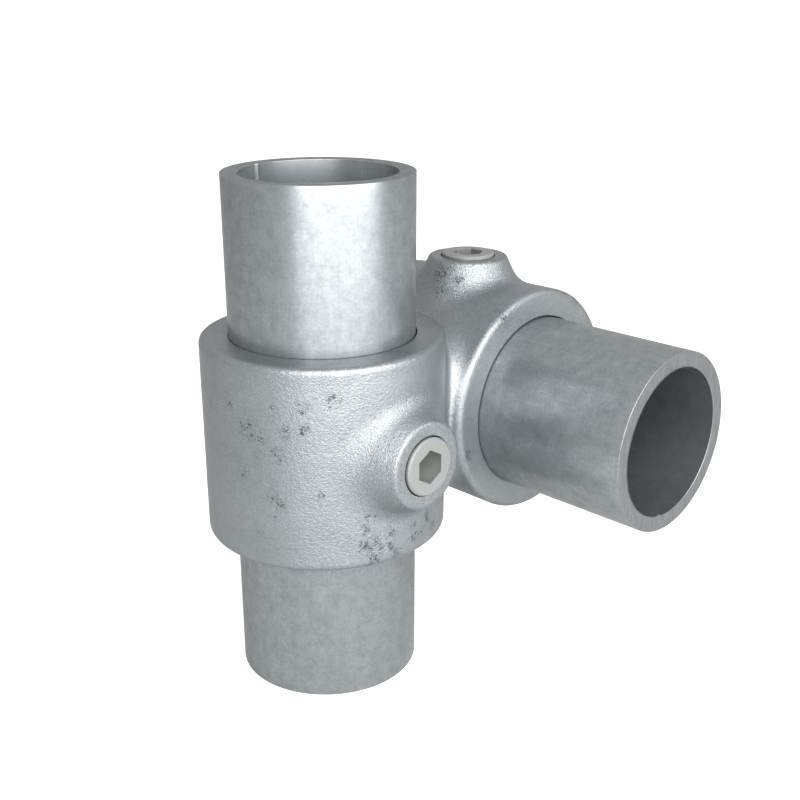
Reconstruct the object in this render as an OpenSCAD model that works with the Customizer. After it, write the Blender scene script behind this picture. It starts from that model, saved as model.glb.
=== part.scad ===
// Crossover tube clamp: a one-piece casting that holds two tubes at right angles, side by side,
// each gripped by one hexagon-socket set screw. Lengths are in millimetres.
// The origin is the centre of the upright tube's lower end. +Z runs up that tube,
// +X along the level tube towards its front end, and +Y from the upright tube to the level one.

/* [Tubes] */
// Outside diameter of both tubes
tube_od = 48.3; // [42:0.1:50]
// Wall thickness of the tubes
tube_wall = 4.2; // [2.6:0.1:5]
// Length of each tube
tube_length = 135; // [110:1:300]
// How far the level tube is slid forward from its middle
run_slide = 3.8; // [-12:0.1:12]
// Width of the weld bead inside each tube
seam_width = 1; // [0.6:0.1:3]
// Height of the weld bead inside each tube
seam_height = 0.6; // [0.3:0.1:1.2]
// Turn of the upright tube's weld bead from its back, in degrees
upright_seam = 10; // [-180:1:180]
// Turn of the level tube's weld bead from its underside, in degrees
level_seam = -10; // [-180:1:180]
// Bevel on the cut edges of the tubes
tube_edge = 0.15; // [0.1:0.05:0.8]

/* [Sleeves] */
// Radial clearance between a tube and its bore
bore_clearance = 0.2; // [0.1:0.05:0.6]
// Thickness of the sleeve walls
sleeve_wall = 7.5; // [6:0.1:10]
// Length of each sleeve
sleeve_length = 53; // [48:0.5:70]
// Rounding of the sleeves' outer rims
rim_round = 1.6; // [0.8:0.1:3]
// Break on the edges of the bores
bore_edge = 0.2; // [0.1:0.1:1]
// Thickness of the wall that the two bores share
shared_wall = 7.1; // [6:0.1:12]

/* [Neck] */
// How far the neck's sides lie behind the sleeve's ends
neck_inset = 4.5; // [4.5:0.5:8]
// Height of the neck
neck_height = 44; // [34:1:48]
// Rounding at the neck's four corners, seen along it
neck_corner = 12; // [6:0.5:14]
// Fillet from the neck to the level sleeve
neck_fillet = 4; // [2:0.5:4]

/* [Bosses] */
// Height of the screw bosses above the sleeves
boss_rise = 5.9; // [4:0.1:8]
// Diameter of the flat face of a boss, its rounding included
boss_face_d = 22.7; // [20:0.1:25]
// Rounding at the edge of a boss face
boss_round = 0.9; // [0.5:0.1:2.5]
// Draft angle of the boss flank
boss_draft = 26; // [18:1:30]
// Reach of the soft fillet between boss and sleeve
boss_blend = 3.5; // [3:0.5:8]

/* [Set screws] */
// Thread diameter of the set screws
screw_d = 15; // [12:0.5:17]
// Clearance around the screw thread
thread_clearance = 0.1; // [0.05:0.05:0.3]
// How far a screw stands out of its boss
screw_proud = 1; // [0.2:0.1:2]
// Bevel at the outer end of a screw
screw_bevel = 0.4; // [0.1:0.1:1.2]
// Bevel at the cup end of a screw
point_bevel = 2; // [1:0.1:3]
// Width across the flats of the hexagon socket
socket_af = 8; // [6:0.1:9]
// Depth of the hexagon socket
socket_depth = 7.5; // [5:0.1:9]
// Diameter of the cup in the screw point
cup_d = 8; // [5:0.1:9]
// Depth of the cup in the screw point
cup_depth = 2.2; // [1:0.1:2.5]
// Turn of the top screw, in degrees
top_screw_turn = 0; // [0:1:60]
// Gap left where a screw or a bore presses on a tube
seat_gap = 0.02; // [0.01:0.01:0.05]
// Countersink around the screw hole in the boss face
hole_bevel = 0.2; // [0.1:0.1:1]

/* [Hidden] */
$fn = 96;
tube_r = tube_od / 2;
tube_bore_r = tube_r - tube_wall;
bore_r = tube_r + bore_clearance;
sleeve_r = bore_r + sleeve_wall;
sleeve_half = sleeve_length / 2;
// distance between the axes of the two bores
spacing = 2 * bore_r + shared_wall;
// each screw pushes its tube off the bore's axis, against the far side
push = bore_clearance - seat_gap;
// height of the level bore's axis above the lower end of the upright tube
clamp_z = tube_length / 2;
boss_h = sleeve_r + boss_rise;
boss_face_r = boss_face_d / 2;
screw_r = screw_d / 2;
// distances from a bore's axis to the two ends of its screw
screw_out = boss_h + screw_proud;
screw_in = tube_r - push + seat_gap;
// a margin for cuts that run out past a face
past = 1;
// how far the neck's fillet, and a boss's foot, dip into the sleeve that they meet
sunk = 1;
foot_dip = 0.15;
// facets of the boss surface: round it, and from its face to its foot
boss_sides = 40;
edge_rings = 3;
foot_rings = 7;
// facets of the neck: up its height, and round its fillet
neck_rows = 14;
fillet_steps = 5;
// angle that the neck's fillet turns through before it dips into the level sleeve
fillet_turn = 70;

// Body of one sleeve about Z, solid, with its outer rims rounded
module sleeve_body() {
    rotate_extrude()
        union() {
            translate([0, -sleeve_half])
                square([sleeve_r - rim_round, sleeve_length]);
            translate([0, rim_round - sleeve_half])
                square([sleeve_r, sleeve_length - 2 * rim_round]);
            for (s = [-1, 1])
                translate([sleeve_r - rim_round, s * (sleeve_half - rim_round)])
                    circle(r = rim_round);
        }
}

// Bore of one sleeve about Z, with its two edges broken
module sleeve_bore() {
    cylinder(r = bore_r, h = sleeve_length + 2 * past, center = true);
    for (s = [0, 1])
        mirror([0, 0, s])
            translate([0, 0, sleeve_half - bore_edge])
                cylinder(r1 = bore_r, r2 = bore_r + bore_edge + past, h = bore_edge + past);
}

// Height of the sleeve's surface at r from the boss axis, in the direction a round that axis
function sleeve_top(r, a) = sqrt(pow(sleeve_r, 2) - pow(r * sin(a), 2));
// Height of the drafted flank, which starts at the lower end of the face rounding
flank_r = boss_face_r - boss_round * (1 - cos(boss_draft));
flank_h = boss_h - boss_round * (1 - sin(boss_draft));
function flank_top(r) = flank_h - (r - flank_r) / tan(boss_draft);
// The larger of two heights, with a soft change over the blend length
function soft_max(p, q) =
    max(p, q) + pow(max(boss_blend - abs(p - q), 0), 2) / (4 * boss_blend);
// Foot of the boss in the direction a: the radius at which the blend has just died out
function foot_r(a) =
    let (k = 1 / tan(boss_draft), peak = flank_h + flank_r * k + boss_blend, q = pow(k, 2) + pow(sin(a), 2))
    (peak * k - sqrt(max(pow(peak * k, 2) - q * (pow(peak, 2) - pow(sleeve_r, 2)), 0))) / q;

// One ring of the boss surface: rings 0 to edge_rings round the face, the rest go down the flank
function ring_r(i, a) =
    i <= edge_rings
        ? boss_face_r - boss_round + boss_round * sin(i / edge_rings * (90 - boss_draft))
        : flank_r + (foot_r(a) - flank_r) * (i - edge_rings) / foot_rings;
function ring_h(i, a) =
    i < edge_rings
        ? boss_h - boss_round * (1 - cos(i / edge_rings * (90 - boss_draft)))
        : i == edge_rings + foot_rings
            ? sleeve_top(ring_r(i, a), a) - foot_dip
            : soft_max(flank_top(ring_r(i, a)), sleeve_top(ring_r(i, a), a));

// Outer form of one boss, standing up from a sleeve that lies along X
module boss_body() {
    rings = edge_rings + foot_rings + 1;
    n = boss_sides;
    wall = [for (i = [0 : rings - 1], j = [0 : n - 1])
        let (a = 360 * j / n)
        [ring_r(i, a) * cos(a), ring_r(i, a) * sin(a), ring_h(i, a)]];
    base = [for (j = [0 : n - 1])
        let (a = 360 * j / n)
        [foot_r(a) * cos(a), foot_r(a) * sin(a), bore_r / 2]];
    sides = [for (i = [0 : rings - 1], j = [0 : n - 1])
        let (k = (j + 1) % n)
        for (t = [[i * n + j, i * n + k, (i + 1) * n + j], [i * n + k, (i + 1) * n + k, (i + 1) * n + j]])
            t];
    top = [for (j = [n - 1 : -1 : 0]) j];
    bottom = [for (j = [0 : n - 1]) rings * n + j];
    polyhedron(points = concat(wall, base), faces = concat([top], sides, [bottom]));
}

// Tapped hole of a boss, from outside its face to the bore, up from a sleeve that lies along X
module screw_hole() {
    cylinder(r = screw_r + thread_clearance, h = boss_h + past);
    translate([0, 0, boss_h - hole_bevel])
        cylinder(r1 = screw_r + thread_clearance,
            r2 = screw_r + thread_clearance + hole_bevel + past, h = hole_bevel + past);
}

// Nearest point of the level sleeve's surface to the upright one, at height z from its axis
function neck_front(z) = spacing - sqrt(pow(sleeve_r, 2) - pow(z, 2));
// Half of the neck's width at height z, less where its corners are rounded
function neck_half(z) =
    let (rise = max(abs(z) - (neck_height / 2 - neck_corner), 0))
    sleeve_half - neck_inset - neck_corner + sqrt(max(pow(neck_corner, 2) - pow(rise, 2), 0));
// Right half of the neck's section at height z: a flat side, then a fillet into the level sleeve
function neck_side(z) =
    let (half = neck_half(z))
    concat(
        [[half, 0]],
        [for (i = [0 : fillet_steps])
            let (a = fillet_turn * i / fillet_steps)
            [half + neck_fillet * (1 - cos(a)), neck_front(z) - neck_fillet * (1 - sin(a))]],
        [[half + neck_fillet, neck_front(z) + sunk], [half + neck_fillet, spacing]]);
// The whole section, as points at height z
function neck_section(z) =
    let (right = neck_side(z), n = len(right))
    concat(
        [for (p = right) [p[0], p[1], z]],
        [for (i = [n - 1 : -1 : 0]) [-right[i][0], right[i][1], z]]);

// Neck between the sleeves, stacked up from its sections
module neck() {
    n = len(neck_section(0));
    rows = [for (i = [0 : neck_rows]) neck_height * (i / neck_rows - 0.5)];
    points = [for (z = rows) each neck_section(z)];
    sides = [for (i = [0 : neck_rows - 1], j = [0 : n - 1])
        let (k = (j + 1) % n)
        for (t = [[i * n + j, (i + 1) * n + j, i * n + k], [i * n + k, (i + 1) * n + j, (i + 1) * n + k]])
            t];
    // the two ends are cut into strips across, because the section is hollow-sided
    bottom = [for (j = [0 : n / 2 - 2]) [j, j + 1, n - 2 - j, n - 1 - j]];
    top = [for (f = bottom) [for (j = [3 : -1 : 0]) f[j] + neck_rows * n]];
    polyhedron(points = points, faces = concat(bottom, sides, top));
}

// Places its children at the front boss of the upright sleeve, with their Z axis along +X
module at_front() {
    translate([push, 0, clamp_z])
        rotate([0, 90, 0])
            children();
}

// Places its children at the top boss of the level sleeve, whose sleeve lies along X
module at_top() {
    translate([push, spacing, clamp_z])
        children();
}

module clamp_casting() {
    color([0.58, 0.60, 0.61])
    difference() {
        union() {
            translate([push, 0, clamp_z])
                sleeve_body();
            translate([push, spacing, clamp_z])
                rotate([0, 90, 0])
                    sleeve_body();
            translate([push, 0, clamp_z])
                neck();
            at_front()
                boss_body();
            at_top()
                boss_body();
        }
        translate([push, 0, clamp_z])
            sleeve_bore();
        translate([push, spacing, clamp_z])
            rotate([0, 90, 0])
                sleeve_bore();
        at_front()
            screw_hole();
        at_top()
            screw_hole();
    }
}

// One set screw on Z, from its cup point on the tube to its socket end outside the boss
module set_screw() {
    length = screw_out - screw_in;
    difference() {
        translate([0, 0, screw_in])
            union() {
                cylinder(r1 = screw_r - point_bevel, r2 = screw_r, h = point_bevel);
                translate([0, 0, point_bevel])
                    cylinder(r = screw_r, h = length - point_bevel - screw_bevel);
                translate([0, 0, length - screw_bevel])
                    cylinder(r1 = screw_r, r2 = screw_r - screw_bevel, h = screw_bevel);
            }
        translate([0, 0, screw_out - socket_depth])
            cylinder(r = socket_af / 2 / cos(30), h = socket_depth + past, $fn = 6);
        translate([0, 0, screw_in - past])
            cylinder(r1 = cup_d / 2 * (1 + past / cup_depth), r2 = 0, h = cup_depth + past);
    }
}

module front_set_screw() {
    color([0.78, 0.79, 0.78])
    at_front()
        set_screw();
}

module top_set_screw() {
    color([0.78, 0.79, 0.78])
    at_top()
        rotate(top_screw_turn)
            set_screw();
}

// One tube about Z from 0 up, its weld bead in the direction -X
module tube() {
    difference() {
        union() {
            cylinder(r1 = tube_r - tube_edge, r2 = tube_r, h = tube_edge);
            translate([0, 0, tube_edge])
                cylinder(r = tube_r, h = tube_length - 2 * tube_edge);
            translate([0, 0, tube_length - tube_edge])
                cylinder(r1 = tube_r, r2 = tube_r - tube_edge, h = tube_edge);
        }
        difference() {
            translate([0, 0, -past])
                cylinder(r = tube_bore_r, h = tube_length + 2 * past);
            translate([-tube_r, -seam_width / 2, -2 * past])
                cube([tube_wall + seam_height, seam_width, tube_length + 4 * past]);
        }
    }
}

module vertical_tube() {
    color([0.55, 0.58, 0.58])
    rotate(upright_seam)
        tube();
}

module horizontal_tube() {
    color([0.53, 0.56, 0.56])
    translate([push + run_slide - tube_length / 2, spacing, clamp_z - push])
        rotate([0, 90, 0])
            rotate(180 + level_seam)
                tube();
}

clamp_casting();
front_set_screw();
top_set_screw();
vertical_tube();
horizontal_tube();
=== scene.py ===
import math

import bpy
import numpy as np
from mathutils import Matrix, Vector, noise


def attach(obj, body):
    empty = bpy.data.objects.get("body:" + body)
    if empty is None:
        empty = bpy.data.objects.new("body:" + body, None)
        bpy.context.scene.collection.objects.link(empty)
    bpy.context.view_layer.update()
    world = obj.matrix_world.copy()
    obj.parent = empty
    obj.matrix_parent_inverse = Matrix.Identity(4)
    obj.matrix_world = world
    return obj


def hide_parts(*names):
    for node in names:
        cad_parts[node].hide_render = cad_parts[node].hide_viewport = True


# Crossover tube clamp: galvanised casting, two cut tubes and two set screws.
# Sizes are in millimetres, in the part's own frame, unless a note says otherwise.
mm = 0.001

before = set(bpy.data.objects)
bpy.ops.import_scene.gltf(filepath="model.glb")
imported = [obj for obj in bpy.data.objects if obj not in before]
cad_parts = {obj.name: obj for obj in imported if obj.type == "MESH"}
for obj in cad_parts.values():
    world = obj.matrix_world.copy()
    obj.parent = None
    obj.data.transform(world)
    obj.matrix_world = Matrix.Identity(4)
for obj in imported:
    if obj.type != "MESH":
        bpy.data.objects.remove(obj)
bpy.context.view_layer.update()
scene = bpy.context.scene
print("frame loaded:", sorted(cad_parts))

# where the clamp's middle and the two bore axes lie
layout = {
    "middleHeight": 67.5,  # of the level bore above the upright tube's lower end
    "spacing": 55.8,  # between the two bore axes
    "push": 0.18,  # each screw presses its tube this far off the bore's axis
}
clampMiddle = Matrix.Translation(Vector((layout["push"], 0, layout["middleHeight"])))
alongX = Matrix.Rotation(math.radians(90), 4, "Y")  # lays a part that stands on Z down along +X
levelMiddle = clampMiddle @ Matrix.Translation(Vector((0, layout["spacing"], 0)))


# the photo's own view
cameraView = {
    "place": (208.46, -179.78, 174.8),
    "azimuth": 45.05,  # degrees, 0 looks along +Y
    "elevation": 19.99,
    "lens": 49.78,  # on a 36 mm sensor
}


def addCamera():
    data = bpy.data.cameras.new("camera")
    data.lens = cameraView["lens"]
    data.sensor_width = 36
    data.clip_start, data.clip_end = 0.01, 50
    camera = bpy.data.objects.new("camera", data)
    scene.collection.objects.link(camera)
    a, e = math.radians(cameraView["azimuth"]), math.radians(cameraView["elevation"])
    back = Vector((math.sin(a) * math.cos(e), -math.cos(a) * math.cos(e), math.sin(e)))
    right = Vector((math.cos(a), math.sin(a), 0))
    turn = Matrix((right, back.cross(right), back)).transposed().to_4x4()
    camera.matrix_world = Matrix.Translation(Vector(cameraView["place"]) * mm) @ turn
    scene.camera = camera


addCamera()
print("camera placed")


def addObject(name, points, faces, place=Matrix()):
    mesh = bpy.data.meshes.new(name)
    points = np.asarray(points, float)
    toMetres = Matrix.Scale(mm, 4) @ place
    m = np.array(toMetres)
    mesh.from_pydata((points @ m[:3, :3].T + m[:3, 3]).tolist(), [], faces)
    mesh.validate()
    mesh.update()
    made = bpy.data.objects.new(name, mesh)
    scene.collection.objects.link(made)
    return made


def stackFaces(rings, sides):
    # faces between rings of points that lie one above the other, with a cap at each end
    faces = []
    for i in range(rings - 1):
        for j in range(sides):
            k = (j + 1) % sides
            faces.append((i * sides + j, i * sides + k, (i + 1) * sides + k, (i + 1) * sides + j))
    faces.append(tuple(range(sides - 1, -1, -1)))
    faces.append(tuple((rings - 1) * sides + j for j in range(sides)))
    return faces


def latheParts(outline, sides):
    # points and faces of a solid of revolution about Z, from (radius, height) pairs going up
    turn = np.arange(sides) * 2 * math.pi / sides
    points = [(r * math.cos(t), r * math.sin(t), h) for r, h in outline for t in turn]
    return points, stackFaces(len(outline), sides)


def addLathe(name, outline, sides, place=Matrix()):
    points, faces = latheParts(outline, sides)
    return addObject(name, points, faces, place)


def applyModifiers(piece):
    seen = piece.evaluated_get(bpy.context.evaluated_depsgraph_get())
    mesh = bpy.data.meshes.new_from_object(seen)
    old = piece.data
    piece.modifiers.clear()
    piece.data = mesh
    mesh.name = piece.name
    bpy.data.meshes.remove(old)


def cutAway(piece, cutters):
    for cutter in cutters:
        cut = piece.modifiers.new("cut", "BOOLEAN")
        cut.operation = "DIFFERENCE"
        cut.solver = "EXACT"
        cut.object = cutter
    bpy.context.view_layer.update()
    applyModifiers(piece)
    for cutter in cutters:
        mesh = cutter.data
        bpy.data.objects.remove(cutter)
        bpy.data.meshes.remove(mesh)


def shadeByAngle(piece, degrees):
    mesh = piece.data
    mesh.polygons.foreach_set("use_smooth", [True] * len(mesh.polygons))
    mesh.set_sharp_from_angle(angle=math.radians(degrees))
    mesh.update()


castingShape = {
    "boreRadius": 24.35,
    "boreEdge": 0.12,
    "sleeveRadius": 31.85,
    "sleeveHalf": 26.5,
    "rimRounding": 1.6,
    "neckHalfWidth": 22.8,
    "neckHalfHeight": 22.0,
    "neckCorner": 12.0,
    "neckBlend": 5.2,
    "sleeveBlend": 2.2,
    "bossTop": 37.75,  # above the sleeve's axis
    "bossFaceRadius": 11.35,
    "bossRounding": 0.7,
    "bossDraft": 26,  # degrees
    "bossBlend": 2.8,
    "bossFoot": 14,  # the cone ends here, inside the sleeve
    "holeRadius": 7.75,
    "holeBevel": 0.15,
    "sleeveSides": 96,
    "rodSides": 64,
    "boreSides": 192,
    "holeSides": 72,
    "smoothBelow": 34,  # degrees between faces that are shaded as one skin
    "cell": 0.65,  # of the mesh
    "castWave": 0.09,  # how deep the mould's waves go
    "waveScales": (0.11, 0.27),  # slow and quick waves, in turns to a mm
}


def softMin(a, b, reach):
    h = np.maximum(reach - np.abs(a - b), 0) / reach
    return np.minimum(a, b) - h * h * reach / 4


def sleeveDistance(along, out):
    c = castingShape
    r = out - (c["sleeveRadius"] - c["rimRounding"])
    a = np.abs(along) - (c["sleeveHalf"] - c["rimRounding"])
    outside = np.hypot(np.maximum(r, 0), np.maximum(a, 0))
    return outside + np.minimum(np.maximum(r, a), 0) - c["rimRounding"]


def bossDistance(height, out):
    # a drafted cone with a flat top and a rounded shoulder
    c = castingShape
    draft = math.radians(c["bossDraft"])
    cosD, sinD = math.cos(draft), math.sin(draft)
    cornerOut = c["bossFaceRadius"] - c["bossRounding"]
    cornerUp = c["bossTop"] - c["bossRounding"]
    u, v = out - cornerOut, height - cornerUp
    flank = u * cosD + v * sinD
    inCorner = (u > 0) & (v * cosD - u * sinD > 0)
    return np.where(inCorner, np.hypot(u, v), np.maximum(v, flank)) - c["bossRounding"]


def castingDistance(p):
    # signed distance from the casting's outer skin, with the bores left solid
    c = castingShape
    x, y, z = p.T
    fromLevel = y - layout["spacing"]
    upright = sleeveDistance(z, np.hypot(x, y))
    level = sleeveDistance(x, np.hypot(fromLevel, z))
    front = np.maximum(bossDistance(x, np.hypot(y, z)), c["bossFoot"] - x)
    top = np.maximum(bossDistance(z, np.hypot(x, fromLevel)), c["bossFoot"] - z)
    upright = softMin(upright, front, c["bossBlend"])
    level = softMin(level, top, c["bossBlend"])
    # the neck is a rounded oblong seen along Y, with a wide fillet to the level sleeve only
    u = np.abs(x) - (c["neckHalfWidth"] - c["neckCorner"])
    v = np.abs(z) - (c["neckHalfHeight"] - c["neckCorner"])
    neck = np.hypot(np.maximum(u, 0), np.maximum(v, 0)) + np.minimum(np.maximum(u, v), 0)
    neck -= c["neckCorner"]
    middle = layout["spacing"] / 2
    neck = np.maximum(neck, np.abs(y - middle) - middle)
    return softMin(upright, softMin(level, neck, c["neckBlend"]), c["sleeveBlend"])


def steepest(p, step=0.02):
    slope = np.empty_like(p)
    for i in range(3):
        move = np.zeros(3)
        move[i] = step
        slope[:, i] = (castingDistance(p + move) - castingDistance(p - move)) / (2 * step)
    return slope / np.maximum(np.linalg.norm(slope, axis=1, keepdims=True), 0.2)


def drawOntoSkin(p, rounds):
    for _ in range(rounds):
        p = p - steepest(p) * castingDistance(p)[:, None]
    return p


def relax(p, edges):
    total = np.zeros_like(p)
    count = np.zeros(len(p))
    for a, b in ((0, 1), (1, 0)):
        np.add.at(total, edges[:, a], p[edges[:, b]])
        np.add.at(count, edges[:, a], 1)
    return total / count[:, None]


def roughCasting():
    # rods and cones melted into one mesh of even cells
    c = castingShape
    half, out = c["sleeveHalf"], c["sleeveRadius"]
    spare, flare, dip = 0.5, 6, 12
    sleeve = latheParts([(out, -half), (out, half)], c["sleeveSides"])
    wideEnd, face = (c["bossFaceRadius"] + flare, out - dip), (c["bossFaceRadius"], c["bossTop"])
    cone = latheParts([wideEnd, face], c["rodSides"])
    thick = c["neckCorner"] + spare
    neck = latheParts([(thick, 0), (thick, layout["spacing"])], c["rodSides"])
    wide, high = c["neckHalfWidth"] - c["neckCorner"], c["neckHalfHeight"] - c["neckCorner"]
    # the neck's round rod is pulled apart into an oblong one, and laid along Y
    oblong = [(x + math.copysign(wide, x), h, y + math.copysign(high, y)) for x, y, h in neck[0]]
    neck = (oblong, neck[1])
    toLevel = Matrix.Translation(Vector((0, layout["spacing"], 0)))
    points, faces = [], []
    for (partPoints, partFaces), place in (
        (sleeve, Matrix()),
        (sleeve, toLevel @ alongX),
        (cone, alongX),
        (cone, toLevel),
        (neck, Matrix()),
    ):
        faces += [tuple(i + len(points) for i in f) for f in partFaces]
        points += [tuple(place @ Vector(p)) for p in partPoints]
    casting = addObject("clampCasting", points, faces, clampMiddle)
    remesh = casting.modifiers.new("remesh", "REMESH")
    remesh.mode = "VOXEL"
    remesh.voxel_size = c["cell"] * mm
    applyModifiers(casting)
    return casting


def smoothCasting(casting):
    # draws the rough mesh onto the true skin, then adds the mould's waves
    c = castingShape
    mesh = casting.data
    count = len(mesh.vertices)
    co = np.empty(count * 3, np.float32)
    mesh.vertices.foreach_get("co", co)
    edges = np.empty(len(mesh.edges) * 2, np.int32)
    mesh.edges.foreach_get("vertices", edges)
    edges = edges.reshape(-1, 2)
    middle = np.array(clampMiddle.translation)
    p = drawOntoSkin(co.reshape(-1, 3).astype(float) / mm - middle, 4)
    for _ in range(4):
        p = drawOntoSkin(relax(p, edges), 2)
    # the waves go inwards only
    slow, quick = c["waveScales"]
    wave = [noise.noise(q * slow) + 0.5 * noise.noise(q * quick) for q in map(Vector, p.tolist())]
    p -= steepest(p) * (c["castWave"] * np.clip(0.5 + 0.5 * np.array(wave), 0, 1))[:, None]
    mesh.vertices.foreach_set("co", ((p + middle) * mm).astype(np.float32).ravel())
    mesh.update()


def boreCasting(casting):
    # the cutters run on a little past the faces they cut
    c = castingShape
    past, holeRun = 1, 6
    half, edge = c["sleeveHalf"], c["boreEdge"]
    boreOutline = [
        (c["boreRadius"] + edge + past, -half - past),
        (c["boreRadius"], edge - half),
        (c["boreRadius"], half - edge),
        (c["boreRadius"] + edge + past, half + past),
    ]
    holeOutline = [
        (c["holeRadius"], c["boreRadius"] - holeRun),
        (c["holeRadius"], c["bossTop"] - c["holeBevel"]),
        (c["holeRadius"] + c["holeBevel"] + past, c["bossTop"] + past),
    ]
    cutAway(casting, [
        addLathe("uprightBore", boreOutline, c["boreSides"], clampMiddle),
        addLathe("levelBore", boreOutline, c["boreSides"], levelMiddle @ alongX),
        addLathe("frontHole", holeOutline, c["holeSides"], clampMiddle @ alongX),
        addLathe("topHole", holeOutline, c["holeSides"], levelMiddle),
    ])
    shadeByAngle(casting, c["smoothBelow"])


casting = roughCasting()
smoothCasting(casting)
boreCasting(casting)
print("casting:", len(casting.data.polygons), "faces")


tubeShape = {
    "radius": 24.15,
    "wall": 4.2,
    "length": 135.0,
    "slide": 3.8,  # of the level tube, forwards
    "beadWidth": 1.3,
    "beadHeight": 0.48,
    "beadShape": (-2.2, 0.4, 1.6),  # shallow foot, crest and steep foot, in half widths
    "beadSpread": 3.2,  # half widths that get the fine steps
    "beadWobble": (0.12, 0.35),  # share of its height, and waves to a mm
    "uprightBead": 190,  # direction of the bead, in degrees about the tube's own axis
    "levelBead": 350,
    "outerRound": 0.1,
    "innerRound": 0.15,
    "roundSteps": 3,
    "faceSteps": 6,
    "turns": 240,
    "beadSteps": 26,
    "rings": 30,
    "smoothBelow": 40,
}


def makeTube(name, beadTurn, place):
    t = tubeShape
    bead = math.radians(beadTurn)
    inner = t["radius"] - t["wall"]
    beadHalf = t["beadWidth"] / 2 / inner  # half its angle
    spread = beadHalf * t["beadSpread"]
    fine = bead + np.linspace(-spread, spread, t["beadSteps"])
    rest = bead + np.linspace(spread, 2 * math.pi - spread, t["turns"])[1:-1]
    angles = np.concatenate([fine, rest])

    def beadRise(angle, h):
        # a shallow slope up one side of the weld bead and a steep one down the other
        s = (angle - bead) / beadHalf
        low, crest, high = t["beadShape"]
        share = (s - low) / (crest - low) if s < crest else (high - s) / (high - crest)
        share = max(0.0, min(1.0, share))
        depth, waves = t["beadWobble"]
        wobble = depth * noise.noise(Vector((h * waves, beadTurn, 0)))
        return t["beadHeight"] * (0.92 + wobble) * (share ** 1.6 if s < crest else share)

    def roundEdge(kind, size, side):
        arc = [math.radians(90) * i / t["roundSteps"] for i in range(t["roundSteps"] + 1)]
        return [(kind, side * size * (1 - math.sin(a)), size * (1 - math.cos(a))) for a in arc]

    # rings of one end: kind, offset from the inner or outer wall or share of the face, height
    section = roundEdge("inner", t["innerRound"], 1)
    section += [("face", i / t["faceSteps"], 0) for i in range(1, t["faceSteps"])]
    section += roundEdge("outer", t["outerRound"], -1)
    steps = np.linspace(0, t["length"], t["rings"] + 2)[1:-1]
    rings = list(section)
    rings += [("outer", 0, h) for h in steps]
    rings += [(kind, offset, t["length"] - height) for kind, offset, height in reversed(section)]
    rings += [("inner", 0, h) for h in reversed(steps)]

    points = []
    for kind, offset, h in rings:
        for a in angles:
            if kind == "outer":
                r = t["radius"] + offset
            elif kind == "inner":
                r = inner - beadRise(a, h) + offset
            else:
                low = inner - beadRise(a, h) + t["innerRound"]
                r = low + (t["radius"] - t["outerRound"] - low) * offset
            points.append((r * math.cos(a), r * math.sin(a), h))
    n, m = len(angles), len(rings)
    faces = []
    for i in range(m):
        for j in range(n):
            k, after = (j + 1) % n, (i + 1) % m
            faces.append((i * n + j, after * n + j, after * n + k, i * n + k))
    tube = addObject(name, points, faces, place)
    # finishes: 0 outside, 1 on the cut ends, 2 inside
    finishes = []
    for i in range(m):
        kinds = (rings[i][0], rings[(i + 1) % m][0])
        finishes += [1 if "face" in kinds else 2 if kinds == ("inner", "inner") else 0] * n
    tube.data.polygons.foreach_set("material_index", finishes)
    shadeByAngle(tube, t["smoothBelow"])
    return tube


uprightTube = makeTube("uprightTube", tubeShape["uprightBead"], Matrix())
levelStart = (
    layout["push"] + tubeShape["slide"] - tubeShape["length"] / 2,
    layout["spacing"],
    layout["middleHeight"] - layout["push"],
)
levelPlace = Matrix.Translation(Vector(levelStart)) @ alongX
levelTube = makeTube("levelTube", tubeShape["levelBead"], levelPlace)
print("tubes made")


screwShape = {
    "radius": 7.45,
    "outerEnd": 38.65,  # from the bore's axis
    "innerEnd": 23.99,
    "pitch": 2.0,
    "threadDepth": 1.0,
    "rootShare": 0.25,  # of half a pitch
    "flankShare": 0.625,
    "runOut": 1.1,
    "plainEnd": 1.6,  # without thread, next to the face
    "brightEnd": 0.95,  # below this depth the screw's side is painted near-black, as the shade in the hole's gap
    "faceBevel": 0.4,
    "pointBevel": 2.0,
    "socketFlats": 7.75,
    "socketDepth": 7.5,
    "socketTip": 1.2,  # the drill's cone below the hexagon
    "socketFlare": 0.04,
    "cupRadius": 4.0,
    "cupDepth": 2.2,
    "turns": 96,
    "ringStep": 0.2,
    "smoothBelow": 28,
    "topScrewTurn": 0,  # degrees
}


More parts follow.
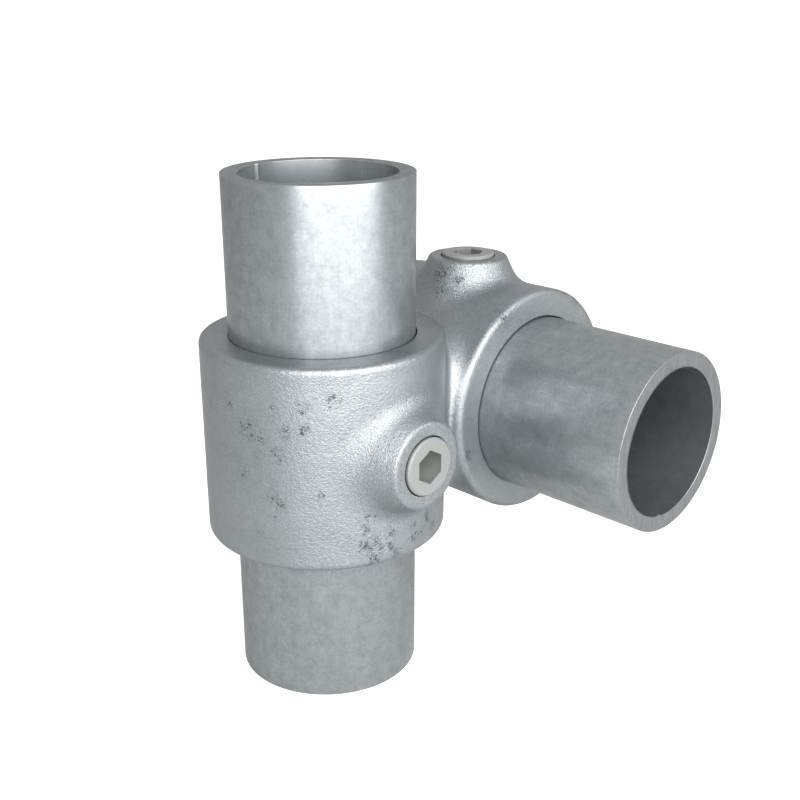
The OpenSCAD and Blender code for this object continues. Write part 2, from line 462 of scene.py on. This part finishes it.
def makeScrew(name, place, softSocket):
    s = screwShape
    length = s["outerEnd"] - s["innerEnd"]
    threaded = length - s["plainEnd"]
    heights = [*np.linspace(0, threaded, int(threaded / s["ringStep"]) + 1)]
    heights += [length - s["brightEnd"], length - s["faceBevel"], length]
    angles = np.arange(s["turns"]) * 2 * math.pi / s["turns"]
    points = []
    for h in heights:
        fromFace = length - h
        fade = min(1.0, max(0.0, (fromFace - s["plainEnd"]) / s["runOut"]))
        for a in angles:
            phase = (h / s["pitch"] - a / (2 * math.pi)) % 1
            crest = (abs(2 * phase - 1) - s["rootShare"]) / s["flankShare"]
            crest = min(1.0, max(0.0, crest))
            r = s["radius"] - s["threadDepth"] * fade * (1 - crest)
            r = min(r, s["radius"] - s["faceBevel"] + fromFace, s["radius"] - s["pointBevel"] + h)
            points.append((r * math.cos(a), r * math.sin(a), s["innerEnd"] + h))
    screw = addObject(name, points, stackFaces(len(heights), len(angles)), place)
    corner = s["socketFlats"] / 2 / math.cos(math.radians(30))
    floor = s["outerEnd"] - s["socketDepth"]
    socket = addLathe("socket", [
        (corner * 0.3, floor - s["socketTip"]),
        (corner, floor),
        (corner, s["outerEnd"] - s["socketFlare"]),
        (corner + s["socketFlare"] + 1, s["outerEnd"] + 1),
    ], 6, place)
    slope = s["cupRadius"] / s["cupDepth"]
    cup = addLathe("cup", [
        (s["cupRadius"] + slope, s["innerEnd"] - 1),
        (0.2, s["innerEnd"] + s["cupDepth"] - 0.1),
    ], 48, place)
    cutAway(screw, [socket, cup])
    shadeByAngle(screw, s["smoothBelow"])
    # finishes: 0 on the face, 1 inside the socket, painted darker as its shade, 2 on the thread,
    # painted near-black as the gap's shade
    ownAxes = place.inverted() @ Matrix.Scale(1 / mm, 4)
    walls = {}
    lowest, highest = floor - s["socketTip"] - 0.1, s["outerEnd"] - 0.05
    for face in screw.data.polygons:
        x, y, h = ownAxes @ face.center
        if math.hypot(x, y) < corner * 0.99 and lowest < h < highest:
            face.material_index = 1
            for key in face.edge_keys:
                walls[key] = walls.get(key, 0) + 1
        elif h < s["outerEnd"] - s["brightEnd"]:
            face.material_index = 2
    # a soft socket's walls are shaded into each other
    for edge in screw.data.edges:
        if softSocket and walls.get(edge.key) == 2:
            edge.use_edge_sharp = False
    return screw


frontScrew = makeScrew("frontSetScrew", clampMiddle @ alongX, True)
topScrewPlace = levelMiddle @ Matrix.Rotation(math.radians(screwShape["topScrewTurn"]), 4, "Z")
topScrew = makeScrew("topSetScrew", topScrewPlace, False)
print("screws made")


def addNode(tree, kind, inputs=None, **settings):
    made = tree.nodes.new("ShaderNode" + kind)
    for name, value in settings.items():
        setattr(made, name, value)
    for socket, value in (inputs or {}).items():
        if isinstance(value, bpy.types.NodeSocket):
            tree.links.new(value, made.inputs[socket])
        else:
            made.inputs[socket].default_value = value
    return made


def compute(tree, operation, *values):
    return addNode(tree, "Math", dict(enumerate(values)), operation=operation).outputs[0]


def remap(tree, value, low, high, toLow=0.0, toHigh=1.0, smooth=False):
    inputs = {"Value": value, "From Min": low, "From Max": high, "To Min": toLow, "To Max": toHigh}
    made = addNode(tree, "MapRange", inputs, interpolation_type="SMOOTHSTEP" if smooth else "LINEAR")
    return made.outputs["Result"]


def blendColours(tree, factor, first, second):
    first, second = (v if isinstance(v, bpy.types.NodeSocket) else (*v, 1) for v in (first, second))
    return addNode(tree, "Mix", {0: factor, 6: first, 7: second}, data_type="RGBA").outputs[2]


def stretched(tree, vector, scales):
    return addNode(tree, "VectorMath", {0: vector, 1: scales}, operation="MULTIPLY").outputs[0]


def distanceTo(tree, vector, centre):
    inputs = {0: vector, 1: tuple(v * mm for v in centre)}
    return addNode(tree, "VectorMath", inputs, operation="DISTANCE").outputs["Value"]


def noiseValue(tree, vector, size, detail=2.0, roughness=0.5):
    # size is a socket or a number: how many noise cells go into a metre
    inputs = {"Vector": vector, "Scale": size, "Detail": detail, "Roughness": roughness}
    return addNode(tree, "TexNoise", inputs).outputs["Fac"]


def startGroup(name, inputs, output):
    # inputs are numbers with their first values, after the vector that every group takes
    group = bpy.data.node_groups.new(name, "ShaderNodeTree")
    group.interface.new_socket("Vector", in_out="INPUT", socket_type="NodeSocketVector")
    for label, value in inputs.items():
        socket = group.interface.new_socket(label, in_out="INPUT", socket_type="NodeSocketFloat")
        socket.default_value = value
    group.interface.new_socket(output, in_out="OUTPUT", socket_type="NodeSocketFloat")
    given = group.nodes.new("NodeGroupInput").outputs
    return group, given, group.nodes.new("NodeGroupOutput").inputs[output]


def useGroup(tree, group, where, **inputs):
    # fineScale fills the socket called Fine Scale
    values = {"Vector": where}
    for name, value in inputs.items():
        label = "".join(" " + letter if letter.isupper() else letter for letter in name).title()
        values[label] = value
    return addNode(tree, "Group", values, node_tree=group).outputs[0]


def makeCloudGroup():
    # slow patches in the zinc, with smaller ones inside them
    group, given, out = startGroup("zincClouds", {"Scale": 100.0, "Contrast": 1.0}, "Cloud")
    large = noiseValue(group, given["Vector"], given["Scale"], 3.0, 0.6)
    smaller = compute(group, "MULTIPLY", given["Scale"], 4.3)
    small = noiseValue(group, given["Vector"], smaller, 3.0, 0.65)
    both = compute(group, "MULTIPLY_ADD", small, 0.45, compute(group, "MULTIPLY", large, 0.55))
    centred = compute(group, "SUBTRACT", both, 0.5)
    group.links.new(compute(group, "MULTIPLY_ADD", centred, given["Contrast"], 0.5), out)
    return group


def makeGrainGroup():
    # fine wrinkles over a slower orange peel, as a height
    inputs = {"Fine Scale": 1500.0, "Peel Scale": 350.0, "Peel Share": 0.5}
    group, given, out = startGroup("surfaceGrain", inputs, "Height")
    fine = noiseValue(group, given["Vector"], given["Fine Scale"], 3.0, 0.55)
    peel = noiseValue(group, given["Vector"], given["Peel Scale"], 2.0, 0.5)
    group.links.new(compute(group, "MULTIPLY_ADD", peel, given["Peel Share"], fine), out)
    return group


def makePitGroup():
    # ragged dark spots, thicker and larger where the cover is high
    group, given, out = startGroup("darkPits", {"Scale": 900.0, "Cover": 0.0}, "Mask")
    lumps = noiseValue(group, given["Vector"], given["Scale"], 3.0, 0.7)
    edge = compute(group, "MULTIPLY_ADD", given["Cover"], -0.215, 0.66)
    group.links.new(remap(group, lumps, edge, compute(group, "ADD", edge, 0.06)), out)
    return group


def makeScratchGroup():
    # long thin marks along Z of the given vector
    inputs = {"Across": 2600.0, "Along": 60.0, "Amount": 0.3}
    group, given, out = startGroup("hairScratches", inputs, "Mask")
    scales = addNode(group, "CombineXYZ", {0: given["Across"], 1: given["Across"], 2: given["Along"]})
    lines = noiseValue(group, stretched(group, given["Vector"], scales.outputs[0]), 1.0, 2.0, 0.6)
    edge = compute(group, "SUBTRACT", 0.78, compute(group, "MULTIPLY", given["Amount"], 0.3))
    group.links.new(remap(group, lines, edge, compute(group, "ADD", edge, 0.12)), out)
    return group


zincClouds = makeCloudGroup()
surfaceGrain = makeGrainGroup()
darkPits = makePitGroup()
hairScratches = makeScratchGroup()
print("shared effects made")


def startMaterial(name, metallic, tint=0.8):
    material = bpy.data.materials.new(name)
    material.use_nodes = True
    tree = material.node_tree
    shader = tree.nodes["Principled BSDF"]
    shader.inputs["Metallic"].default_value = metallic
    shader.inputs["Specular Tint"].default_value = (tint, tint, tint, 1)
    where = addNode(tree, "TexCoord").outputs["Object"]
    return material, tree, shader, where


def joinUp(tree, shader, colour, roughness, height, distance):
    # distance is how far the bumps rise, in metres
    tree.links.new(colour, shader.inputs["Base Color"])
    tree.links.new(roughness, shader.inputs["Roughness"])
    bump = addNode(tree, "Bump", {"Height": height, "Distance": distance, "Strength": 1.0})
    tree.links.new(bump.outputs["Normal"], shader.inputs["Normal"])


# each roughness is a pair: where the zinc is dark, and where it is light
castFinish = {
    "metallic": 0.78,
    "dark": (0.2, 0.215, 0.225),
    "light": (0.275, 0.293, 0.304),
    "roughness": (0.37, 0.29),
    "grainHeight": 0.00013,
    "wrinkleStretch": (0.68, 0.68, 1.0),  # the sand grain is drawn out level on the sleeves
    "wrinkles": {"fineScale": 2900.0, "peelScale": 1350.0, "peelShare": 0.8},
    "grain": {"fineScale": 3300.0, "peelScale": 1700.0, "peelShare": 0.8},
    "bossReach": (16.5, 21.0),  # mm from a boss axis: coarser even grain inside, wrinkles outside
    "levelReach": (22, 30),  # mm along Y, over which the level sleeve's even grain sets in
    "speckleScale": 2700.0,
    "speckle": 3.3,
    "pit": (0.05, 0.055, 0.061),
    "pitScale": 1900.0,
    "pitDark": 0.9,
    "pitDepth": 0.4,
    "smudge": 0.22,  # the grey round the pits
    # pitted patches on the upright sleeve: turn about its axis in degrees, height and reach in mm
    "uprightPits": (
        (-58, 78, 3.2), (-70, 76, 3.5), (-76, 77.5, 4.5), (-50, 79, 3), (-50, 84, 3.5),
        (-37, 86.4, 3), (-65, 61, 3), (-62, 59, 3), (-62, 72, 3.5), (-80, 65.5, 2.5), (-87, 82, 2),
        (-102, 80, 2), (-71, 71, 2.5), (-64, 83, 2.5), (-72, 50, 2), (-65, 55, 1.8), (-43, 62, 1.8),
        (-21, 55, 3.2), (-24, 52, 2.8), (-12, 49, 3.5), (-19.5, 47, 4), (-12, 45.5, 3), (-20, 43.5, 4),
        (7, 46.3, 3.5), (3, 45.8, 2.5), (12.5, 49.2, 3.2), (18, 46, 2.5), (2, 49, 2), (-15, 44.5, 3.5),
        (-9, 43, 3), (-24, 47.5, 3),
    ),
    # the other patches: place and reach in mm
    "otherPits": (
        ((1.3, 42.5, 101.5), 4), ((2.7, 43.9, 103.3), 3.2), ((2.8, 41, 98), 3.5),
        ((6.8, 44.3, 101), 3), ((27, 1, 94), 4), ((25, 42, 94), 5), ((24, 28, 88), 3),
        ((4, 26, 92), 3), ((22, 30, 50), 4), ((27, 75, 44), 5), ((23, 64, 98), 5),
        ((26.7, 28, 59), 3), ((24, 40, 40), 4), ((26.5, 73, 94), 4), ((26.5, 68, 97), 3.5),
    ),
}


def pitCover(tree, where):
    # high in the pitted patches, and ragged at their edges
    patches = list(castFinish["otherPits"])
    for turn, height, reach in castFinish["uprightPits"]:
        a, r = math.radians(turn), castingShape["sleeveRadius"]
        patches.append(((r * math.cos(a), r * math.sin(a), height), reach))
    cover = 0.01
    for place, reach in patches:
        apart = distanceTo(tree, where, place)
        near = remap(tree, apart, reach * 0.2 * mm, reach * mm, 0.85, 0.0, True)
        cover = compute(tree, "MAXIMUM", near, cover)
    ragged = remap(tree, noiseValue(tree, where, 500.0, 3.0, 0.7), 0.37, 0.56)
    return compute(tree, "MULTIPLY", cover, ragged)


def makeCastZinc():
    f = castFinish
    material, tree, shader, where = startMaterial("castZinc", f["metallic"])
    cloud = useGroup(tree, zincClouds, where, scale=75.0, contrast=1.5)
    drawn = stretched(tree, where, f["wrinkleStretch"])
    wrinkles = useGroup(tree, surfaceGrain, drawn, **f["wrinkles"])
    grain = useGroup(tree, surfaceGrain, where, **f["grain"])
    nearBoss = 0.0
    frontAxis = (0, 0, layout["middleHeight"])
    topAxis = (0, layout["spacing"], 0)
    for flat, centre in (((0, 1, 1), frontAxis), ((1, 1, 0), topAxis)):
        apart = distanceTo(tree, stretched(tree, where, flat), centre)
        near = remap(tree, apart, *(v * mm for v in f["bossReach"]), 1.0, 0.0, True)
        nearBoss = compute(tree, "MAXIMUM", near, nearBoss)
    sideways = addNode(tree, "SeparateXYZ", {"Vector": where}).outputs["Y"]
    aside = remap(tree, sideways, *(v * mm for v in f["levelReach"]))
    coarse = compute(tree, "MULTIPLY_ADD", grain, 1.45, -0.4)
    evenly = compute(tree, "MAXIMUM", nearBoss, compute(tree, "MULTIPLY", aside, 0.85))
    skin = addNode(tree, "Mix", {0: evenly, 2: wrinkles, 3: coarse}).outputs[0]
    cover = pitCover(tree, where)
    pits = useGroup(tree, darkPits, where, scale=f["pitScale"], cover=cover)
    # the grain's low spots are painted darker as their shade, with more speckle, a random tone, on the
    # bosses and the level sleeve
    tone = compute(tree, "MULTIPLY_ADD", compute(tree, "SUBTRACT", skin, 0.9), 0.9, cloud)
    speckled = compute(tree, "MAXIMUM", nearBoss, compute(tree, "MULTIPLY_ADD", aside, 0.45, 0.3))
    dots = noiseValue(tree, where, f["speckleScale"], 1.0, 0.5)
    speckle = compute(tree, "MULTIPLY", compute(tree, "SUBTRACT", dots, 0.5), speckled)
    tone = compute(tree, "MULTIPLY_ADD", speckle, f["speckle"], tone)
    base = blendColours(tree, tone, f["dark"], f["light"])
    smudge = compute(tree, "MULTIPLY", cover, f["smudge"])
    dirt = compute(tree, "MAXIMUM", compute(tree, "MULTIPLY", pits, f["pitDark"]), smudge)
    colour = blendColours(tree, dirt, base, f["pit"])
    roughness = remap(tree, cloud, 0, 1, *f["roughness"])
    height = compute(tree, "SUBTRACT", skin, compute(tree, "MULTIPLY", pits, f["pitDepth"]))
    joinUp(tree, shader, colour, roughness, height, f["grainHeight"])
    return material


tubeFinish = {
    "metallic": 0.8,
    "dark": (0.18, 0.195, 0.202),
    "light": (0.29, 0.31, 0.318),
    "roughness": (0.36, 0.25),
    "grainHeight": 0.000018,
    "grain": {"fineScale": 2400.0, "peelScale": 520.0, "peelShare": 0.7},
    "scratch": (0.36, 0.37, 0.375),
    "scratches": {"across": 2300.0, "along": 90.0, "amount": 0.5},
    "scratchShow": 0.12,
    # a faint weave of fine lines along the tube and round it
    "weave": 0.38,
    "linesAlong": (1900.0, 1900.0, 110.0),
    "linesAround": (150.0, 150.0, 2100.0),
}


def makeTubeZinc(name, turn, shade=1.0, patches=330.0, marked=1.0):
    # turn brings the tube's own axis onto Z, shade scales the zinc's colours as painted light or
    # shade, and marked is how much handling the surface shows
    f = tubeFinish
    material, tree, shader, where = startMaterial(name, f["metallic"])
    where = addNode(tree, "Mapping", {"Vector": where, "Rotation": turn}).outputs[0]
    cloud = useGroup(tree, zincClouds, where, scale=patches, contrast=2.5)
    marks = useGroup(tree, hairScratches, where, **f["scratches"])
    along = noiseValue(tree, stretched(tree, where, f["linesAlong"]), 1.0, 2.0, 0.6)
    around = noiseValue(tree, stretched(tree, where, f["linesAround"]), 1.0, 2.0, 0.6)
    weave = compute(tree, "SUBTRACT", compute(tree, "ADD", along, around), 1.0)
    cloud = compute(tree, "MULTIPLY_ADD", weave, f["weave"] * marked, cloud)
    grain = useGroup(tree, surfaceGrain, where, **f["grain"])
    # the zinc's two tones scaled by shade: painted light or painted shade
    dark, light = (tuple(v * shade for v in f[tone]) for tone in ("dark", "light"))
    shown = compute(tree, "MULTIPLY", marks, f["scratchShow"] * marked)
    colour = blendColours(tree, shown, blendColours(tree, cloud, dark, light), f["scratch"])
    roughness = remap(tree, cloud, 0, 1, *f["roughness"])
    height = compute(tree, "MULTIPLY_ADD", weave, 0.35, grain)
    joinUp(tree, shader, colour, roughness, height, f["grainHeight"] * marked)
    return material


cutFinish = {
    "metallic": 0.8,
    "dark": (0.14, 0.144, 0.154),
    "light": (0.225, 0.229, 0.24),
    "roughness": (0.5, 0.34),
    "streaks": 3.4,
    "streakHeight": 0.00007,
}


def makeCutZinc(name, scales):
    # scales run the saw's streaks along one line of the cut face
    f = cutFinish
    material, tree, shader, where = startMaterial(name, f["metallic"])
    streak = noiseValue(tree, stretched(tree, where, scales), 1.0, 3.0, 0.6)
    cloud = useGroup(tree, zincClouds, where, scale=220.0, contrast=1.4)
    shift = compute(tree, "MULTIPLY_ADD", cloud, 0.4, -1.4)
    tone = compute(tree, "MULTIPLY_ADD", streak, f["streaks"], shift)
    colour = blendColours(tree, tone, f["dark"], f["light"])
    roughness = remap(tree, streak, 0.3, 0.7, *f["roughness"])
    joinUp(tree, shader, colour, roughness, streak, f["streakHeight"])
    return material


screwFinish = {
    "metallic": 0.35,
    "dark": (0.187, 0.195, 0.187),
    "light": (0.217, 0.226, 0.217),
    "roughness": (0.65, 0.55),
    "grainHeight": 0.00002,
    "grain": {"fineScale": 2600.0, "peelScale": 700.0, "peelShare": 0.6},
    # the dull inside of the sockets, painted darker as their shade, and the thread down in its hole,
    # painted near-black as the shade in its gap
    "recess": (0.158, 0.166, 0.155),
    "recessMetallic": 0.3,
    "thread": (0.045, 0.046, 0.045),
    "threadMetallic": 0.6,
    "dullRoughness": 0.65,
}


def makeScrewPlating():
    f = screwFinish
    material, tree, shader, where = startMaterial("screwPlating", f["metallic"])
    cloud = useGroup(tree, zincClouds, where, scale=260.0, contrast=1.6)
    grain = useGroup(tree, surfaceGrain, where, **f["grain"])
    colour = blendColours(tree, cloud, f["dark"], f["light"])
    roughness = remap(tree, cloud, 0, 1, *f["roughness"])
    joinUp(tree, shader, colour, roughness, grain, f["grainHeight"])
    return material


def makeDullSteel(name, metallic, pattern, dark, light):
    # pattern puts out the mask between the two tones
    material, tree, shader, where = startMaterial(name, metallic)
    colour = blendColours(tree, pattern(tree, where), dark, light)
    tree.links.new(colour, shader.inputs["Base Color"])
    shader.inputs["Roughness"].default_value = screwFinish["dullRoughness"]
    return material


# the socket's inside: dull, and painted darker as its shade
def makeSocketSteel():
    f = screwFinish

    def pattern(tree, where):
        return useGroup(tree, zincClouds, where, scale=400.0, contrast=1.2)

    darker = tuple(v * 0.85 for v in f["recess"])
    return makeDullSteel("socketSteel", f["recessMetallic"], pattern, darker, f["recess"])


# paints the thread down in the hole near-black, as the shade in the gap round the screw
def makeThreadGapShade():
    f = screwFinish

    def pattern(tree, where):
        return useGroup(tree, surfaceGrain, where, fineScale=2600.0, peelScale=700.0)

    brighter = tuple(v * 1.8 for v in f["thread"])
    return makeDullSteel("threadGapShade", f["threadMetallic"], pattern, f["thread"], brighter)


quarter = math.radians(90)
upright, lying = (0, 0, 0), (0, quarter, 0)
# lit and shaded copies of one zinc: the level tube painted lighter, its inside painted darker, the
# upright tube's inside painted lighter
uprightZinc = makeTubeZinc("uprightTubeZinc", upright)
levelZinc = makeTubeZinc("levelTubeZinc", lying, shade=1.11)
levelInside = makeTubeZinc("levelTubeInside", lying, shade=0.88, patches=70.0, marked=0.15)
uprightInside = makeTubeZinc("uprightTubeInside", upright, shade=1.3, patches=70.0, marked=0.15)
uprightCut = makeCutZinc("uprightCutZinc", (240.0, 3200.0, 100.0))
levelCut = makeCutZinc("levelCutZinc", (100.0, 3000.0, 200.0))
castZinc = makeCastZinc()
screwSteels = (makeScrewPlating(), makeSocketSteel(), makeThreadGapShade())

for piece, finishes in (
    (casting, (castZinc,)),
    (uprightTube, (uprightZinc, uprightCut, uprightInside)),
    (levelTube, (levelZinc, levelCut, levelInside)),
    (frontScrew, screwSteels),
    (topScrew, screwSteels),
):
    for finish in finishes:
        piece.data.materials.append(finish)
print("materials made")


studio = {
    "floorHalf": 3000,
    "floorShade": 0.62,
    "floorGlow": 0.65,  # for the camera alone, so that the shadows stay faint
    "backgroundWhite": 1.1,  # the sky as the camera sees it
    "skyLight": 0.7,  # the sky as the clamp sees it
    "aim": (10, 28, 67),  # where the lights point
    # azimuth from +X towards +Y, elevation, distance, (width, height), power
    "key": (-20, 30, 1000, (1900, 1300), 17),
    # azimuth, distance, (width, height) and power of the upright panel that stands on the floor
    "panel": (-22, 350, (780, 720), 5.2),
}


def makeStudioWhite():
    material = bpy.data.materials.new("studioWhite")
    material.use_nodes = True
    tree = material.node_tree
    shader = tree.nodes["Principled BSDF"]
    shade = studio["floorShade"]
    shader.inputs["Base Color"].default_value = (shade, shade, shade, 1)
    shader.inputs["Roughness"].default_value = 0.9
    shader.inputs["Specular IOR Level"].default_value = 0.1
    seen = addNode(tree, "LightPath").outputs["Is Camera Ray"]
    glow = compute(tree, "MULTIPLY", seen, studio["floorGlow"])
    tree.links.new(glow, shader.inputs["Emission Strength"])
    shader.inputs["Emission Color"].default_value = (1, 1, 1, 1)
    return material


def addFloor():
    h = studio["floorHalf"]
    floor = addObject("floor", [(-h, -h, 0), (h, -h, 0), (h, h, 0), (-h, h, 0)], [(0, 1, 2, 3)])
    floor.data.materials.append(makeStudioWhite())


def addSoftbox(name, out, place, size, power):
    # shines against the direction out
    data = bpy.data.lights.new(name, "AREA")
    data.shape = "RECTANGLE"
    data.size, data.size_y = size[0] * mm, size[1] * mm
    data.energy = power
    light = bpy.data.objects.new(name, data)
    scene.collection.objects.link(light)
    light.location = place * mm
    light.rotation_mode = "QUATERNION"
    light.rotation_quaternion = out.to_track_quat("Z", "Y")
    light.visible_camera = False


def pointOut(azimuth, elevation):
    a, e = math.radians(azimuth), math.radians(elevation)
    return Vector((math.cos(a) * math.cos(e), math.sin(a) * math.cos(e), math.sin(e)))


def addLights():
    aim = Vector(studio["aim"])
    azimuth, elevation, distance, size, power = studio["key"]
    out = pointOut(azimuth, elevation)
    addSoftbox("keySoftbox", out, aim + out * distance, size, power)
    azimuth, distance, size, power = studio["panel"]
    out = pointOut(azimuth, 0)
    place = aim + out * distance
    place.z = size[1] / 2 + 2  # its lower edge is just off the floor
    addSoftbox("floorPanel", out, place, size, power)


def addSky():
    world = bpy.data.worlds.new("studioSky")
    world.use_nodes = True
    tree = world.node_tree
    background = tree.nodes["Background"]
    background.inputs["Color"].default_value = (1, 1, 1, 1)
    seen = addNode(tree, "LightPath").outputs["Is Camera Ray"]
    strength = remap(tree, seen, 0, 1, studio["skyLight"], studio["backgroundWhite"])
    tree.links.new(strength, background.inputs["Strength"])
    scene.world = world


addFloor()
addLights()
addSky()
scene.view_settings.view_transform = "Standard"
print("floor and light set")


for piece, node, slot in (
    (casting, "clamp_casting", "casting_zinc"),
    (frontScrew, "front_set_screw", "screw_steel"),
    (topScrew, "top_set_screw", "screw_steel"),
    (uprightTube, "vertical_tube", "tube_zinc"),
    (levelTube, "horizontal_tube", "tube_zinc"),
):
    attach(piece, "root")
    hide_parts(node)

print("pieces handed over")
